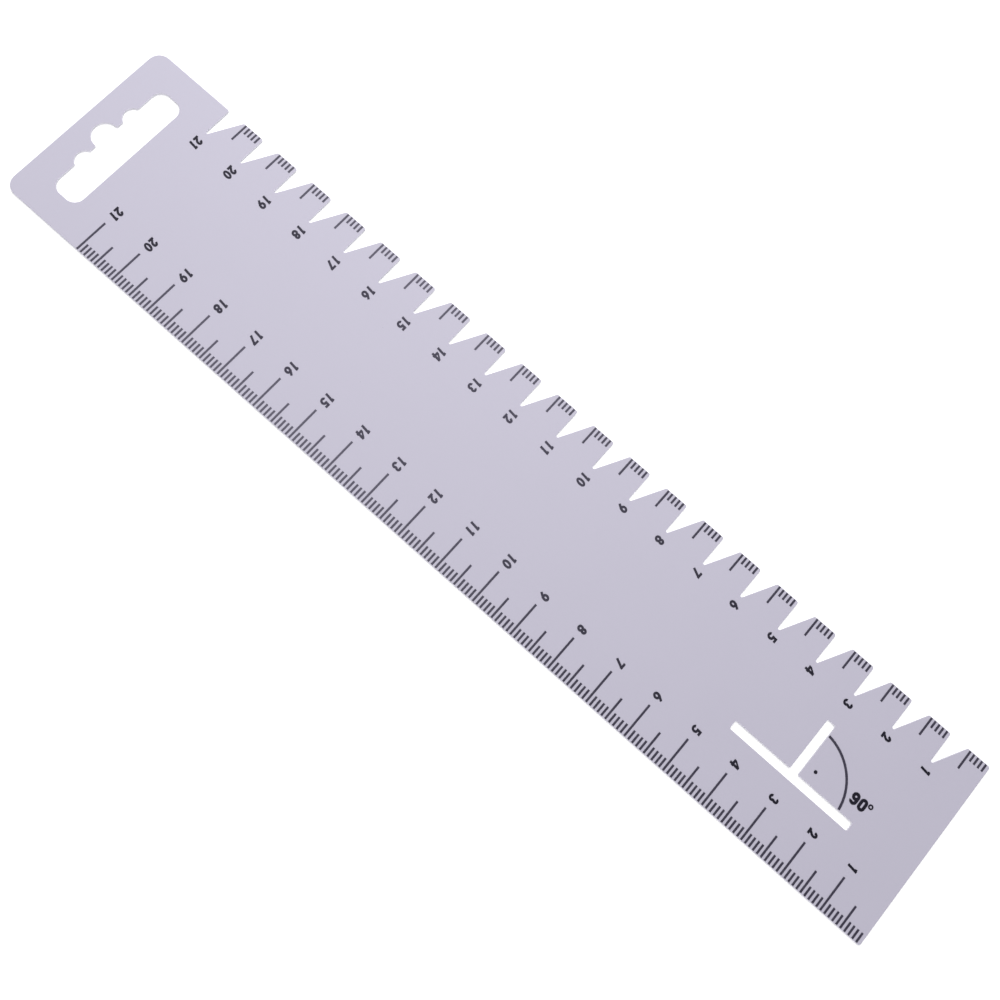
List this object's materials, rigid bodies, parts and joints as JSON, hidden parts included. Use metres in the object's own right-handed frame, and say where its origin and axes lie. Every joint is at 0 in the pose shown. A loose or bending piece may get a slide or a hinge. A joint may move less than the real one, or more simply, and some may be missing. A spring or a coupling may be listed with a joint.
{
  "type": "seam allowance ruler",
  "caption": "Flat plastic sewing ruler with a centimetre scale, a toothed edge with one notch per centimetre, a T slot for right angles and a hand slot.",
  "frame": {"origin": "under the middle of the ruler's outline, on the face that it rests on", "axes": "+X along the ruler to the zero end of the scale, +Y across it to the toothed edge, +Z out of the printed face"},
  "size_m": [0.2312, 0.045, 0.0007],
  "materials": {
    "sheet": "satin pale lavender-grey sheet, lightly scuffed",
    "ink": "screen-printed near-black ink, semi-matt"
  },
  "bodies": {
    "root": {"ruler_sheet": "sheet", "centimetre_line_01": "ink", "centimetre_line_02": "ink", "centimetre_line_03": "ink", "centimetre_line_04": "ink", "centimetre_line_05": "ink", "centimetre_line_06": "ink", "centimetre_line_07": "ink", "centimetre_line_08": "ink", "centimetre_line_09": "ink", "centimetre_line_10": "ink", "centimetre_line_11": "ink", "centimetre_line_12": "ink", "centimetre_line_13": "ink", "centimetre_line_14": "ink", "centimetre_line_15": "ink", "centimetre_line_16": "ink", "centimetre_line_17": "ink", "centimetre_line_18": "ink", "centimetre_line_19": "ink", "centimetre_line_20": "ink", "centimetre_line_21": "ink", "notch_line_01": "ink", "notch_line_02": "ink", "notch_line_03": "ink", "notch_line_04": "ink", "notch_line_05": "ink", "notch_line_06": "ink", "notch_line_07": "ink", "notch_line_08": "ink", "notch_line_09": "ink", "notch_line_10": "ink", "notch_line_11": "ink", "notch_line_12": "ink", "notch_line_13": "ink", "notch_line_14": "ink", "notch_line_15": "ink", "notch_line_16": "ink", "notch_line_17": "ink", "notch_line_18": "ink", "notch_line_19": "ink", "notch_line_20": "ink", "notch_line_21": "ink", "right_angle_arc": "ink", "right_angle_dot": "ink", "angle_figure_nine": "ink", "angle_figure_zero": "ink", "degree_ring": "ink"}
  },
  "joints": []
}
